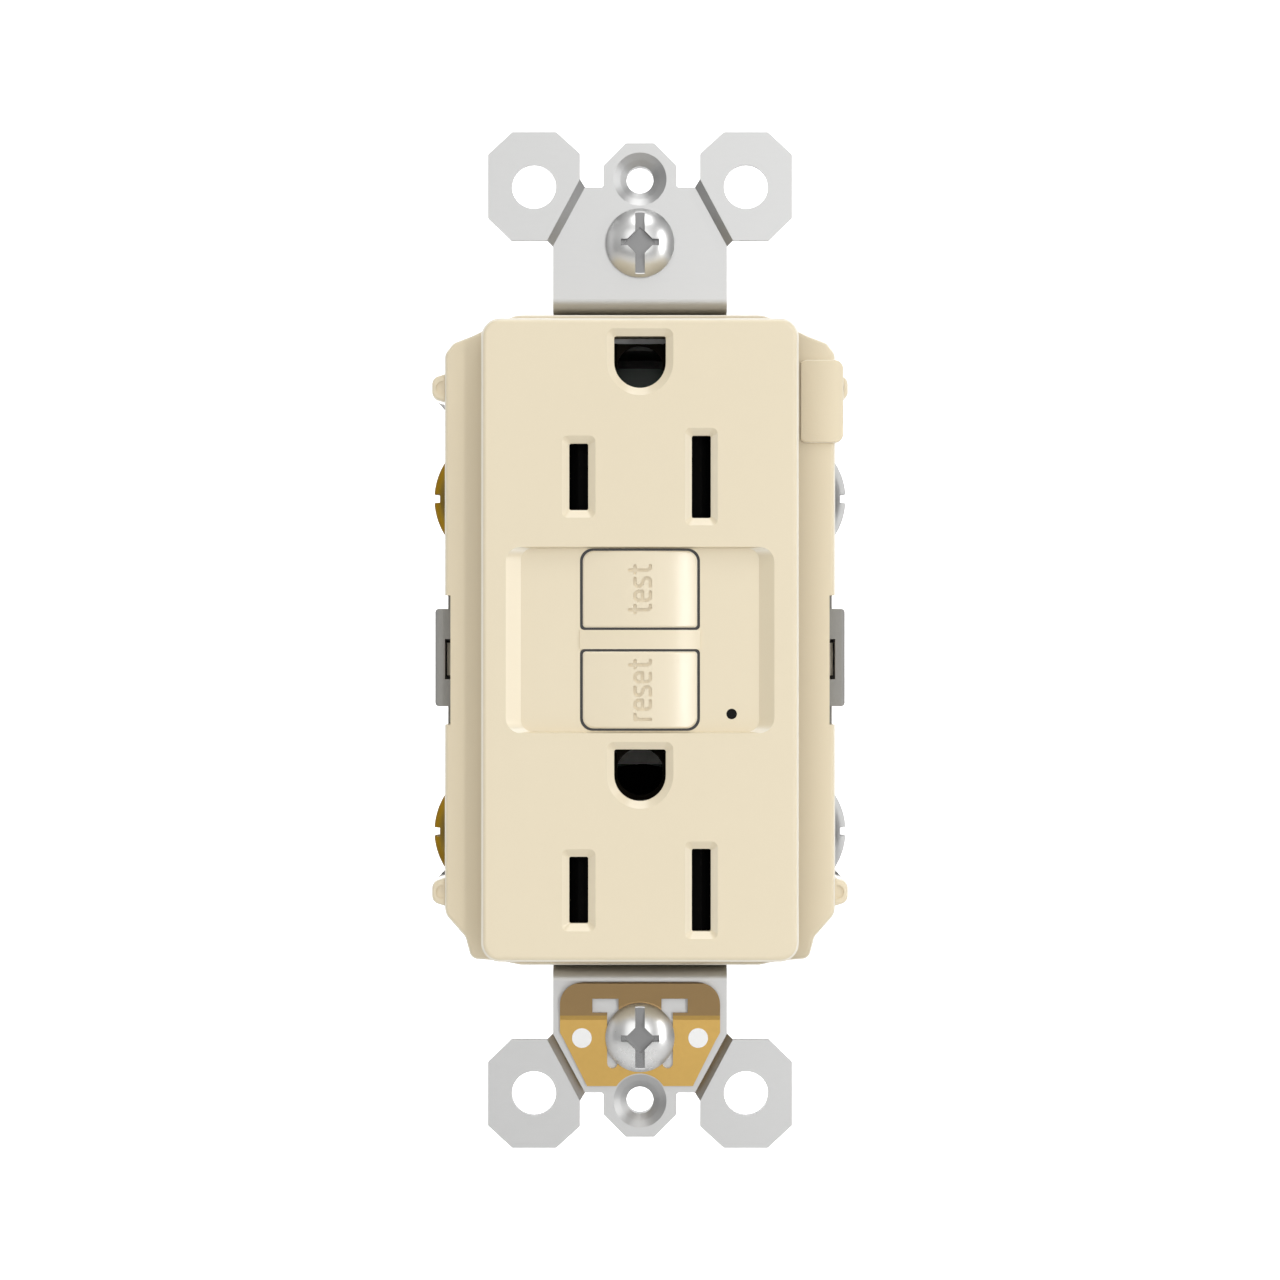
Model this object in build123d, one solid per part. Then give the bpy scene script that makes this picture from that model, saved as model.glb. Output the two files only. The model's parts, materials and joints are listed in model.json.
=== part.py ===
from build123d import *
import os
from math import sqrt, atan2, degrees

# Ground-fault receptacle with two grounded outlets, for one device box.
# Row frame in millimetres: +X to the right, +Y into the wall, +Z up.
# Origin: middle of the device, on the plane where the strap's tongues seat on the box (rear of the tongues).

os.makedirs("parts", exist_ok=True)

# ---------------------------------------------------------------- driving dimensions
BOX_SCREW_Z = 41.67        # box screws, 83.34 mm apart
PLATE_SCREW_Z = 48.42      # wall-plate screws, 96.84 mm apart
STRAP_T = 1.2              # steel strap thickness
EAR_LIFT = 0.9             # how far the ears stand in front of the tongues
TONGUE_HALF = 9.14         # half width of the tongue
EAR_HOLE_R = 2.31
EAR_HOLE = (11.12, 47.53)
PLATE_HOLE_R = 1.42        # 6-32 tapped hole
BOX_SCREW_R = 1.75         # 6-32 shank
BOX_NECK_R = 1.55          # neck of the captive box screws, inside the strap
Y_FACE = -8.4              # front of the face
FACE_W, FACE_H, FACE_R = 32.8, 66.6, 1.9
Y_SHOULDER = -1.4           # front of the cover's shoulder
Y_SPLIT = 7.0              # where cover and rear housing meet
Y_BACK = 26.5              # rear of the housing
WEB_Y0, WEB_Y1 = 5.8, 7.0  # web of the strap inside the device
WEB_HALF = 8.2
BLADE_X = 6.35             # half of the 12.7 mm blade spacing
UP_Z, LO_Z = 16.9, -25.9   # blade line of the upper and the lower outlet
GND_DZ = 11.89             # ground pin above the blade line
GND_R = 2.675
GND_TOP = 2.68             # flat of the ground opening above the pin centre
RECESS_W, RECESS_H, RECESS_D = 27.8, 19.3, 0.9
BTN_HALF = 5.94
BTN_OPEN = 6.22
TEST_Z = (1.28, 9.25)
RESET_Z = (-9.17, -1.18)
PILLOW_R = 35.0            # crown of the button faces
Y_CROWN = -8.2
Y_IN = -6.6                # inner surface of the face
TERM_Z = (15.2, -20.6)     # terminal screws
TERM_Y = 12.0
TERM_PLATE = (17.4, 18.4)
TERM_HEAD_R = 4.2
TERM_SCREW_R = 2.08
HOUSING_SCREW = (19.3, 26.5)
PIN_Z = -5.17              # reset pin
COIL_Y = 14.6              # solenoid axis
COIL_Z = (4.5, 19.5)
CT_Z = -21.5               # sensing coils
PCB_Y = (20.6, 22.2)
LED_X, LED_Z = 9.5, -7.67
GND_SCREW = (-5.2, 10.4)   # x, y of the ground screw, whose axis runs along Z


# ---------------------------------------------------------------- helpers
def bx(x0, x1, y0, y1, z0, z1):
    return Pos((x0 + x1) / 2, (y0 + y1) / 2, (z0 + z1) / 2) * Box(abs(x1 - x0), abs(y1 - y0), abs(z1 - z0))


def cyl(p, d, r, h):
    return Plane(origin=p, z_dir=d) * Cylinder(r, h, align=(Align.CENTER, Align.CENTER, Align.MIN))


def cone(p, d, r0, r1, h):
    return Plane(origin=p, z_dir=d) * Cone(r0, r1, h, align=(Align.CENTER, Align.CENTER, Align.MIN))


def tube(p, d, r1, r0, h):
    return cyl(p, d, r1, h) - cyl(p, d, r0, h)


def F(y):
    return Plane(origin=(0, y, 0), x_dir=(1, 0, 0), z_dir=(0, -1, 0))


def ext(sk, y0, y1):
    return extrude(F(y1) * sk, amount=y1 - y0)


def poly(pts):
    return make_face(Polyline(*[(a, b) for a, b in pts], close=True))


def mirror_x(pts):
    return pts + [(-a, b) for a, b in reversed(pts)]


def at(sk, x, z):
    return Pos(x, z) * sk


def rr(w, h, r):
    return RectangleRounded(w, h, r)


def funnel(sk0, y0, sk1, y1):
    return loft([F(y0) * sk0, F(y1) * sk1])


def soft(part, edges, r):
    try:
        out = fillet(edges, r)
        if out.is_valid:
            return out
    except Exception as e:
        print("fillet skipped", r, type(e).__name__)
    return part


def save(part, name):
    solids = [q for p in part for q in p.solids()] if isinstance(part, list) else part.solids()
    shape = Compound(children=list(solids)) if len(solids) > 1 else solids[0]
    shape.label = name
    export_step(shape, f"parts/{name}.step")


def mx(part):
    return mirror(part, about=Plane.YZ)


def mz(part):
    return mirror(part, about=Plane.XY)


def ring_quarter(cy_, cz, r1, r0, sy, sz, half):
    ring = Plane(origin=(-half, cy_, cz), z_dir=(1, 0, 0)) * (
        Cylinder(r1, 2 * half, align=(Align.CENTER, Align.CENTER, Align.MIN))
        - Cylinder(r0, 2 * half, align=(Align.CENTER, Align.CENTER, Align.MIN)))
    y0, y1 = (cy_, cy_ + r1 + 1) if sy > 0 else (cy_ - r1 - 1, cy_)
    z0, z1 = (cz, cz + r1 + 1) if sz > 0 else (cz - r1 - 1, cz)
    return ring & bx(-half - 1, half + 1, y0, y1, z0, z1)


# ---------------------------------------------------------------- outlines
SHOULDER = [(13.04, 34.15, 2.5), (17.65, 31.95, 1.5), (19.6, 31.2, 1.0), (20.5, 30.05, 1.1),
            (20.5, -28.75, 1.6), (18.35, -31.2, 1.0), (17.75, -33.5, 1.0), (14.6, -33.72, 2.0), (12.6, -34.15, 2.0)]


def shoulder_outline():
    """Closed outline of the shoulder: straight sides and shaped corners, from lines and arcs."""
    face = poly([(a, b) for a, b, r in SHOULDER] + [(-a, b) for a, b, r in reversed(SHOULDER)])
    for a, b, r in SHOULDER:
        vs = [v for v in face.vertices() if abs(abs(v.X) - a) < 1e-4 and abs(v.Y - b) < 1e-4]
        face = fillet(vs, r)
    return face


def lug(sx, zc):
    """Rounded ear beside a housing screw."""
    pts = [(sx * 19.5, zc - 2.0), (sx * 20.55, zc - 1.5), (sx * 21.9, zc - 1.08), (sx * 21.9, zc + 1.08), (sx * 20.55, zc + 1.5), (sx * 19.5, zc + 2.0)]
    sk = poly(pts)
    vs = [v for v in sk.vertices() if abs(v.X) > 21.5]
    return fillet(vs, 0.9)


# ---------------------------------------------------------------- front cover
def ground_outline(grow=0.0):
    r = GND_R + grow
    top = GND_TOP + grow
    sk = Circle(r) + Pos(0, top / 2) * Rectangle(2 * r, top)
    vs = [v for v in sk.vertices() if v.Y > top - 0.01]
    return fillet(vs, 0.25 if grow == 0 else 0.75)


def front_cover():
    base = extrude(F(Y_SHOULDER) * rr(FACE_W + 0.5, FACE_H + 0.5, FACE_R + 0.25), amount=Y_SHOULDER - Y_FACE, taper=1.79)
    edges = base.faces().sort_by(Axis.Y)[0].edges()
    base = soft(base, edges, 0.6)
    sh = ext(shoulder_outline(), Y_SHOULDER, Y_SPLIT)
    sh = soft(sh, sh.faces().sort_by(Axis.Y)[0].edges(), 0.4)
    c = base + sh
    for sx in (1, -1):
        for zc in (HOUSING_SCREW[1], -HOUSING_SCREW[1]):
            l = ext(lug(sx, zc), Y_SHOULDER + 0.9, Y_SPLIT)
            l = soft(l, l.faces().sort_by(Axis.Y)[0].edges(), 0.3)
            # shallow dish inside the ear's rim
            d0, d1 = sorted((sx * 20.75, sx * 21.5))
            dish = cyl((sx * 20.75, Y_SHOULDER + 0.5, zc), (0, 1, 0), 0.72, 0.62) & bx(d0, d1, Y_SHOULDER, 1.0, zc - 1, zc + 1)
            c += l - dish
    # plain raised pad at the upper right of the shoulder
    pad = ext(at(rr(4.7, 8.7, 0.9), 19.0, 25.05), Y_SHOULDER - 0.4, 3.2)
    pad = soft(pad, pad.faces().sort_by(Axis.Y)[0].edges(), 0.15)
    c += pad - bx(14, 16.9, -3, 4, 18, 31)
    # latch notches in the sides of the shoulder
    for sx in (1, -1):
        x0, x1 = sorted((sx * 19.9, sx * 24))
        c -= bx(x0, x1, -2, Y_SPLIT + 1, -8.9, 4.7)
    # hollow inside
    cav = ext(rr(29.8, 63.4, 1.0), Y_FACE + 1.8, Y_SPLIT + 1)
    wide = ext(poly([(18.8, -26.5), (18.8, 28.3), (15.4, 31.6), (13.0, 32.5), (-13.0, 32.5), (-15.4, 31.6), (-18.8, 28.3), (-18.8, -26.5), (-16.6, -31.0), (-14.6, -32.4), (14.6, -32.4), (16.6, -31.0)]), Y_SHOULDER + 1.4, Y_SPLIT + 1)
    boss = None
    for sx in (1, -1):
        for zc in (HOUSING_SCREW[1], -HOUSING_SCREW[1]):
            b = cyl((sx * HOUSING_SCREW[0], Y_SHOULDER, zc), (0, 1, 0), 2.3, 9)
            wide -= b
    c -= cav
    c -= wide
    for sx in (1, -1):
        for zc in (HOUSING_SCREW[1], -HOUSING_SCREW[1]):
            c -= cyl((sx * HOUSING_SCREW[0], 3.0, zc), (0, 1, 0), 1.05, 9)
    # strap passes between cover and housing at both ends
    for s in (1, -1):
        z0, z1 = sorted((s * 31.0, s * 36))
        c -= bx(-9.4, 9.4, WEB_Y0 - 0.1, Y_SPLIT + 1, z0, z1)
    # control recess, sloped at its sides
    c -= funnel(rr(RECESS_W, RECESS_H, 1.6), Y_FACE, rr(RECESS_W - 3.1, RECESS_H - 0.3, 1.2), Y_FACE + RECESS_D)
    c -= ext(rr(RECESS_W, RECESS_H, 1.6), Y_FACE - 1, Y_FACE)
    # button openings and the bridge between them
    for z0, z1, big in ((TEST_Z[0] - 0.24, TEST_Z[1] + 0.24, 1), (RESET_Z[0] - 0.24, RESET_Z[1] + 0.24, -1)):
        c -= ext(button_outline(BTN_OPEN, z0, z1, big, 1.3, 0.45), Y_FACE - 1, Y_FACE + 3)
    crown = cyl((0, Y_CROWN + PILLOW_R, -20), (0, 0, 1), PILLOW_R, 40)
    bridge = crown & bx(-BTN_OPEN - 0.02, BTN_OPEN + 0.02, Y_FACE, Y_FACE + 1.8, RESET_Z[1] + 0.24, TEST_Z[0] - 0.24)
    c += bridge
    # guide walls behind the buttons
    guide = bx(-8.0, 8.0, Y_IN - 0.1, Y_IN + 2.2, -11.0, 11.0) - bx(-7.0, 7.0, Y_IN - 0.5, Y_IN + 3, 0.55, 10.2) - bx(-7.0, 7.0, Y_IN - 0.5, Y_IN + 3, -10.2, -0.45)
    c += guide
    # outlets
    for zb in (UP_Z, LO_Z):
        for x, h, bw, bh in ((-BLADE_X, 6.9, 3.5, 8.5), (BLADE_X, 8.54, 3.4, 10.1)):
            c -= funnel(at(rr(bw, bh, 0.6), x, zb), Y_FACE - 0.001, at(rr(1.97, h, 0.2), x, zb), Y_FACE + 0.55)
            c -= ext(at(rr(1.97, h, 0.2), x, zb), Y_FACE, Y_FACE + 3)
        zg = zb + GND_DZ
        c -= funnel(at(ground_outline(0.78), 0, zg), Y_FACE - 0.001, at(ground_outline(0), 0, zg), Y_FACE + 0.55)
        c -= ext(at(ground_outline(0), 0, zg), Y_FACE, Y_FACE + 3)
    # lamp opening
    c -= cyl((LED_X, Y_FACE - 1, LED_Z), (0, 1, 0), 0.55, 3)
    # catches for the housing's side latches
    for sx in (1, -1):
        x0, x1 = sorted((sx * 19.7, sx * 20.45))
        w = bx(x0, x1, 2.9, 4.7, -3.75, -0.3)
        e = [k for k in w.edges() if abs(k.center().Y - 2.9) < 1e-3 and abs(abs(k.center().X) - 20.45) < 1e-3]
        w = chamfer(e, 0.45)
        c += w
    return c


def button_outline(half, z0, z1, big, r_big, r_small):
    sk = Pos(0, (z0 + z1) / 2) * Rectangle(2 * half, z1 - z0)
    zc = (z0 + z1) / 2
    b = [v for v in sk.vertices() if (v.Y - zc) * big > 0]
    sk = fillet(b, r_big)
    s = [v for v in sk.vertices() if (v.Y - zc) * big < 0 and abs(abs(v.X) - half) < 1e-6 and abs(abs(v.Y - zc) - (z1 - z0) / 2) < 1e-6]
    return fillet(s, r_small)


# ---------------------------------------------------------------- plain letters from strokes
GLYPH = {
    "t": (0.34, [[(0.13, 1), (0.13, 0.14), (0.22, 0.0), (0.34, 0.0)], [(0.0, 0.74), (0.33, 0.74)]]),
    "e": (0.43, [[(0.02, 0.38), (0.43, 0.38), (0.43, 0.60), (0.32, 0.74), (0.11, 0.74), (0.0, 0.60), (0.0, 0.14), (0.11, 0.0), (0.40, 0.0)]]),
    "s": (0.39, [[(0.37, 0.74), (0.10, 0.74), (0.0, 0.65), (0.0, 0.50), (0.10, 0.40), (0.29, 0.34), (0.39, 0.24), (0.39, 0.10), (0.29, 0.0), (0.0, 0.0)]]),
    "r": (0.24, [[(0.0, 0.0), (0.0, 0.74)], [(0.0, 0.58), (0.12, 0.74), (0.24, 0.74)]]),
}


def word(text, zc, height, gap, stroke):
    """Strokes of a word that reads upwards, centred at x 0 and z zc."""
    total = sum(GLYPH[ch][0] * height for ch in text) + gap * (len(text) - 1)
    z_start = zc - total / 2
    sk = None
    for ch in text:
        wide, lines = GLYPH[ch]
        for line in lines:
            pts = [(height / 2 - b * height, z_start + a * height) for a, b in line]
            for (xa, za), (xb, zb) in zip(pts, pts[1:]):
                length = sqrt((xb - xa) ** 2 + (zb - za) ** 2)
                ang = degrees(atan2(zb - za, xb - xa))
                piece = Pos((xa + xb) / 2, (za + zb) / 2) * Rot(0, 0, ang) * Rectangle(length, stroke)
                sk = piece if sk is None else sk + piece
            for xa, za in pts:
                sk += Pos(xa, za) * Circle(stroke / 2)
        z_start += wide * height + gap
    return sk


def button(z0, z1, big, text):
    body = ext(button_outline(BTN_HALF, z0, z1, big, 1.15, 0.35), Y_FACE, Y_IN + 2.0)
    crown = cyl((0, Y_CROWN + PILLOW_R, -20), (0, 0, 1), PILLOW_R, 40)
    body = body & crown
    front = [e for e in body.edges() if e.center().Y < Y_CROWN + 0.62]
    body = soft(body, front, 0.22)
    zc = (z0 + z1) / 2
    lip = ext(at(rr(2 * BTN_HALF + 1.0, z1 - z0 + 0.9, 0.8), 0, zc), Y_IN + 0.1, Y_IN + 0.9)
    body += lip
    body -= bx(-BTN_HALF + 1.2, BTN_HALF - 1.2, Y_IN + 0.3, Y_IN + 3, z0 + 1.2, z1 - 1.2) - cyl((0, -7, zc), (0, 1, 0), 2.6, 5)
    return body


# ---------------------------------------------------------------- strap
EAR = [(6.3, 48.33), (6.3, 51.0), (8.78, 53.26), (13.4, 53.26), (15.95, 50.9), (15.95, 44.26), (13.5, 41.9), (9.74, 41.9)]


def strap_end():
    pts = [(9.14, 35.8), (9.14, 41.36), (5.77, 47.55), (4.0, 47.55), (3.83, 47.75), (3.83, 49.84), (1.5, 52.2)]
    tongue = poly(mirror_x(pts))
    t = ext(tongue, -STRAP_T, 0)
    parts = t
    a0, a1 = (6.3, 48.33), (9.74, 41.9)
    b0, b1 = (5.77, 47.55), (9.14, 41.36)
    ya, yb = -STRAP_T - EAR_LIFT, -STRAP_T
    for sx in (1, -1):
        ear = ext(poly([(sx * a, b) for a, b in EAR]), -STRAP_T - EAR_LIFT, -EAR_LIFT)
        parts += ear
        wa = Wire.make_polygon([(sx * a0[0], ya, a0[1]), (sx * a1[0], ya, a1[1]), (sx * a1[0], ya + STRAP_T, a1[1]), (sx * a0[0], ya + STRAP_T, a0[1])], close=True)
        wb = Wire.make_polygon([(sx * b0[0], yb, b0[1]), (sx * b1[0], yb, b1[1]), (sx * b1[0], yb + STRAP_T, b1[1]), (sx * b0[0], yb + STRAP_T, b0[1])], close=True)
        parts += Solid.make_loft([wa, wb], ruled=True)
    # tapped boss for the wall-plate screw, drawn to the rear
    parts += cyl((0, -0.3, PLATE_SCREW_Z), (0, 1, 0), 2.45, 2.2)
    parts -= cone((0, -STRAP_T, PLATE_SCREW_Z), (0, 1, 0), 2.79, 2.08, 0.45)
    parts -= cone((0, -STRAP_T + 0.45, PLATE_SCREW_Z), (0, 1, 0), 2.08, PLATE_HOLE_R, 0.5)
    parts -= cyl((0, -STRAP_T, PLATE_SCREW_Z), (0, 1, 0), PLATE_HOLE_R, 5)
    for sx in (1, -1):
        parts -= cyl((sx * EAR_HOLE[0], -5, EAR_HOLE[1]), (0, 1, 0), EAR_HOLE_R, 6)
    parts -= ext(at(rr(5.9, 4.4, 0.8), 0, BOX_SCREW_Z), -3, 1)
    # bend, leg and second bend
    parts += ring_quarter(0.3, 35.8, 1.5, 0.3, -1, -1, TONGUE_HALF)
    parts += bx(-TONGUE_HALF, TONGUE_HALF, 0.3, 5.5, 34.3, 35.5)
    parts += ring_quarter(5.5, 34.0, 1.5, 0.3, 1, 1, TONGUE_HALF)
    return parts


def ground_tab():
    tab = bx(-9.0, -1.4, 1.2, 14.4, -36.7, -35.5)
    e = [k for k in tab.edges() if abs(k.center().Z + 36.1) < 1e-3 and k.center().Y > 14]
    tab = fillet(e, 1.5)
    return tab - cyl((GND_SCREW[0], GND_SCREW[1], -40), (0, 0, 1), TERM_SCREW_R + 0.04, 8)


def mounting_strap():
    """One bent sheet. Its two ends and its inner web are kept as touching solids, divided at the inner bends."""
    web = bx(-TONGUE_HALF, TONGUE_HALF, WEB_Y0, WEB_Y1, 32.6, 34.0)
    web += mz(web)
    web += bx(-WEB_HALF, WEB_HALF, WEB_Y0, WEB_Y1, -32.6, 32.6)
    web -= bx(-5.2, 5.2, WEB_Y0 - 1, WEB_Y1 + 1, -8.9, 9.5)
    for zc in (UP_Z + GND_DZ, LO_Z + GND_DZ):
        web -= cyl((0, 4, zc), (0, 1, 0), 2.75, 5)
        for s in (1, -1):
            web -= cyl((s * 4.3, 4, zc), (0, 1, 0), 0.8, 5)
    for zb in (UP_Z, LO_Z):
        for s in (1, -1):
            web -= bx(s * BLADE_X - 1.05, s * BLADE_X + 1.05, 4, 8, zb - 4.5, zb + 4.5)
    top = strap_end()
    low = mz(strap_end()) + ground_tab()
    for sx in (1, -1):
        low -= cyl((sx * 6.1, -3, -41.75), (0, 1, 0), 1.03, 5)
    return [top, web, low]


def grounding_clip():
    outline = poly([(8.4, -35.0), (8.4, -41.2), (7.95, -42.0), (5.55, -46.8), (-5.55, -46.8), (-7.95, -42.0), (-8.4, -41.2), (-8.4, -35.0)])
    # one strip, bent forward by 12 degrees above its bend line
    side = [(-1.8, -46.8), (-1.8, -39.85), (-2.62, -35.99), (-2.03, -35.86), (-1.2, -39.79), (-1.2, -46.8)]
    wire = Wire.make_polygon([(-8.4, a, b) for a, b in side], close=True)
    clip = Solid.extrude(Face(wire), Vector(16.8, 0, 0)) & ext(outline, -4, 0)
    for s in (1, -1):
        corner = bx(s * 8.4 - 2.3, s * 8.4 + 2.3, -4, 0, -38.2, -35.0)
        corner -= cyl((s * 6.1, -5, -38.2), (0, 1, 0), 2.3, 6)
        x0, x1 = sorted((s * 6.1, s * 9.0))
        clip -= corner & bx(x0, x1, -4, 0, -38.2, -35.0)
    clip -= cyl((0, -3, -PLATE_SCREW_Z), (0, 1, 0), 2.95, 4)
    for s in (1, -1):
        x0, x1 = sorted((s * 2.25, s * 5.0))
        clip -= bx(x0, x1, -5, 1, -39.1, -37.6)
        x0, x1 = sorted((s * 2.35, s * 3.45))
        clip -= bx(x0, x1, -5, 1, -44.4, -38.4)
        clip -= cyl((s * 2.9, -5, -44.4), (0, 1, 0), 0.55, 6)
        clip -= cyl((s * 6.1, -3, -41.75), (0, 1, 0), 1.03, 5)
    clip -= cyl((0, -4, -BOX_SCREW_Z), (0, 1, 0), BOX_SCREW_R + 0.1, 6)
    # relief so that the screw head seats flat
    clip -= cyl((0, -4, -BOX_SCREW_Z), (0, 1, 0), 3.8, 2.2)
    return clip


# ---------------------------------------------------------------- screws
def drive(head_top_y, zc, r, slot_w, slot_d, arm, arm_w, dia):
    """Combination recess: full slot upright, short cross arms and a square pocket set on its corner."""
    cut = bx(-slot_w / 2, slot_w / 2, head_top_y - 1, head_top_y + slot_d, zc - r - 1, zc + r + 1)
    cut += bx(-arm, arm, head_top_y - 1, head_top_y + slot_d, zc - arm_w / 2, zc + arm_w / 2)
    side = dia * sqrt(2)
    cut += Pos(0, head_top_y + (slot_d + 0.4) / 2 - 0.5, zc) * Rot(0, 45, 0) * Box(side, slot_d + 1.4, side)
    return cut


def mounting_screw(zc, seat_y):
    r, h = 3.62, 2.0
    R = (r * r + (h - 0.35) ** 2) / (2 * (h - 0.35))
    top = seat_y - h
    dome = Pos(0, top + R, zc) * Sphere(R)
    head = cyl((0, top - 0.5, zc), (0, 1, 0), r, h + 0.5) & dome
    s = head + cyl((0, seat_y - 0.2, zc), (0, 1, 0), BOX_NECK_R, 0.3 - seat_y) + cyl((0, 0, zc), (0, 1, 0), BOX_SCREW_R, seat_y + 25.2)
    s += cone((0, seat_y + 25.2, zc), (0, 1, 0), BOX_SCREW_R, 1.2, 0.6)
    s -= drive(top + 0.05, zc, r, 1.0, 1.25, 2.0, 0.68, 1.65)
    return s


def terminal_screw(side, zc):
    sx = -1
    r = TERM_HEAD_R
    x0 = TERM_PLATE[1]
    h = 3.8
    R = 7.3
    top = x0 + h
    dome = Pos(sx * (top - R), TERM_Y, zc) * Sphere(R)
    head = cyl((sx * (x0 + 0.02), TERM_Y, zc), (sx, 0, 0), r, h + 0.5) & dome
    s = head + cyl((sx * 12.8, TERM_Y, zc), (sx, 0, 0), TERM_SCREW_R, x0 + 0.6 - 12.8)
    s += cone((sx * 12.8, TERM_Y, zc), (-sx, 0, 0), TERM_SCREW_R, 1.7, 0.3)
    # slot runs front to back, cross arm shorter
    a, b = sorted((sx * (top - 0.75), sx * (top + 1)))
    s -= bx(a, b, TERM_Y - 6, TERM_Y + 6, zc - 0.46, zc + 0.46)
    s -= bx(a, b, TERM_Y - 0.5, TERM_Y + 0.5, zc - 2.2, zc + 2.2)
    a, b = sorted((sx * (top - 1.5), sx * (top + 1)))
    s -= Pos((a + b) / 2, TERM_Y, zc) * Rot(45, 0, 0) * Box(b - a, 1.9, 1.9)
    return mx(s) if side > 0 else s


def clamp_plate(sx, zc):
    x0, x1 = sorted((sx * 15.6, sx * 16.8))
    p = bx(x0, x1, 8.5, 16.4, zc - 4.2, zc + 4.2)
    e = [k for k in p.edges() if abs(abs(k.center().X) - 16.2) < 1e-3]
    p = fillet(e, 0.7)
    p -= cyl((sx * 14, TERM_Y, zc), (sx, 0, 0), TERM_SCREW_R + 0.04, 5)
    # wire grooves on the side that faces the terminal
    for s in (1, -1):
        p -= cyl((sx * 17.25, 5, zc + s * 3.0), (0, 1, 0), 0.75, 16)
    return p


def terminal_plate(sx, zc, y0, y1):
    x0, x1 = sorted((sx * TERM_PLATE[0], sx * TERM_PLATE[1]))
    p = bx(x0, x1, y0, y1, zc - 4.2, zc + 4.2)
    p -= cyl((sx * 10, TERM_Y, zc), (sx, 0, 0), TERM_SCREW_R + 0.12, 12)
    return p


def line_terminal(sx):
    zc = TERM_Z[0]
    p = terminal_plate(sx, zc, 7.3, 16.5)
    a, b = sorted((sx * 11.5, sx * TERM_PLATE[0]))
    p += bx(a, b, 7.3, 8.1, zc - 1.5, zc + 1.5)
    a, b = sorted((sx * 11.5, sx * 12.3))
    p += bx(a, b, 7.3, PCB_Y[0], zc - 1.5, zc + 1.5)
    a, b = sorted((sx * 9.6, sx * 12.3))
    p += bx(a, b, PCB_Y[0] - 0.8, PCB_Y[0], zc - 1.5, zc + 1.5)
    return p


def bus_bar(sx):
    def b(x0, x1, *r):
        a, c = sorted((sx * x0, sx * x1))
        return bx(a, c, *r)
    p = b(8.5, 12.4, 4.6, 5.2, LO_Z - 3, UP_Z + 3)
    for zb in (UP_Z, LO_Z):
        p += b(4.9, 12.4, 4.6, 5.2, zb - 5.3, zb + 5.3)
        for x0, x1 in ((5.0, 5.6), (7.1, 7.7)):
            p += b(x0, x1, -3.0, 4.7, zb - 2.9, zb + 2.9)
        # lead-in flares at the mouth of each clip
        for xa, xb in ((5.0, 4.4), (7.7, 8.3)):
            pts = [(sx * xa, -3.0), (sx * (xa + (0.6 if xa < 6 else -0.6)), -3.0), (sx * (xb + (0.6 if xa < 6 else -0.6)), -3.35), (sx * xb, -3.35)]
            w = Wire.make_polygon([(x, y, zb - 2.9) for x, y in pts], close=True)
            p += Solid.extrude(Face(w), Vector(0, 0, 5.8))
    for zb in (UP_Z, LO_Z):
        p -= b(5.6, 7.1, 4, 6, zb - 4.4, zb + 4.4)
    # load terminal at the side
    zc = TERM_Z[1]
    p += b(12.0, TERM_PLATE[1], 4.6, 5.2, zc - 4.2, zc + 4.2)
    p += terminal_plate(sx, zc, 4.6, 16.5)
    # leg and pad of the fixed contact
    p += b(11.2, 11.8, 4.6, 10.2, -4.4, -1.2)
    p += b(7.4, 11.8, 9.6, 10.2, -4.4, -1.2)
    p += cyl((sx * 8.9, 10.1, -2.8), (0, 1, 0), 1.3, 0.87)
    return p


def contact_arm(sx):
    a, c = sorted((sx * 7.4, sx * 10.4))
    p = bx(a, c, 11.3, 11.9, -16.0, -1.3)
    p += cyl((a, 11.6, -16.1), (1, 0, 0), 0.42, c - a)
    p += cyl((sx * 8.9, 11.0, -2.8), (0, 1, 0), 1.3, 0.5)
    e = [k for k in p.edges() if abs(k.center().Y - 11.6) < 1e-3 and k.center().Z > -1.5]
    return fillet(e, 1.0)


def line_lead(sx):
    def b(x0, x1, *r):
        a, c = sorted((sx * x0, sx * x1))
        return bx(a, c, *r)
    p = b(7.4, 10.4, 11.3, 11.9, CT_Z - 0.6, -16.8)
    p += b(0.5, 10.4, 11.3, 11.9, CT_Z - 0.6, CT_Z + 0.6)
    p += b(0.5, 1.9, 11.3, PCB_Y[0], CT_Z - 0.6, CT_Z + 0.6)
    return p


def ground_contact(zc):
    p = bx(-5.4, 5.4, 5.2, 5.8, zc - 3.0, zc + 2.7)
    for s in (1, -1):
        a, c = sorted((s * 2.45, s * 3.05))
        p += bx(a, c, -3.2, 5.3, zc - 2.2, zc + 2.2)
        pts = [(s * 2.45, -3.2), (s * 3.05, -3.2), (s * 3.5, -3.8), (s * 2.9, -3.8)]
        w = Wire.make_polygon([(x, y, zc - 2.2) for x, y in pts], close=True)
        p += Solid.extrude(Face(w), Vector(0, 0, 4.4))
        p -= cyl((s * 4.3, 4, zc), (0, 1, 0), 0.8, 5)
    p -= cyl((0, 4, zc), (0, 1, 0), 2.5, 4) & bx(-2.4, 2.4, 4, 8, zc - 3, zc + 3)
    return p


def rivet(x, y0, y1, z, r, head_r, head_t):
    return cyl((x, y0, z), (0, 1, 0), r, y1 - y0) + cyl((x, y0 - head_t, z), (0, 1, 0), head_r, head_t)


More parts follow.
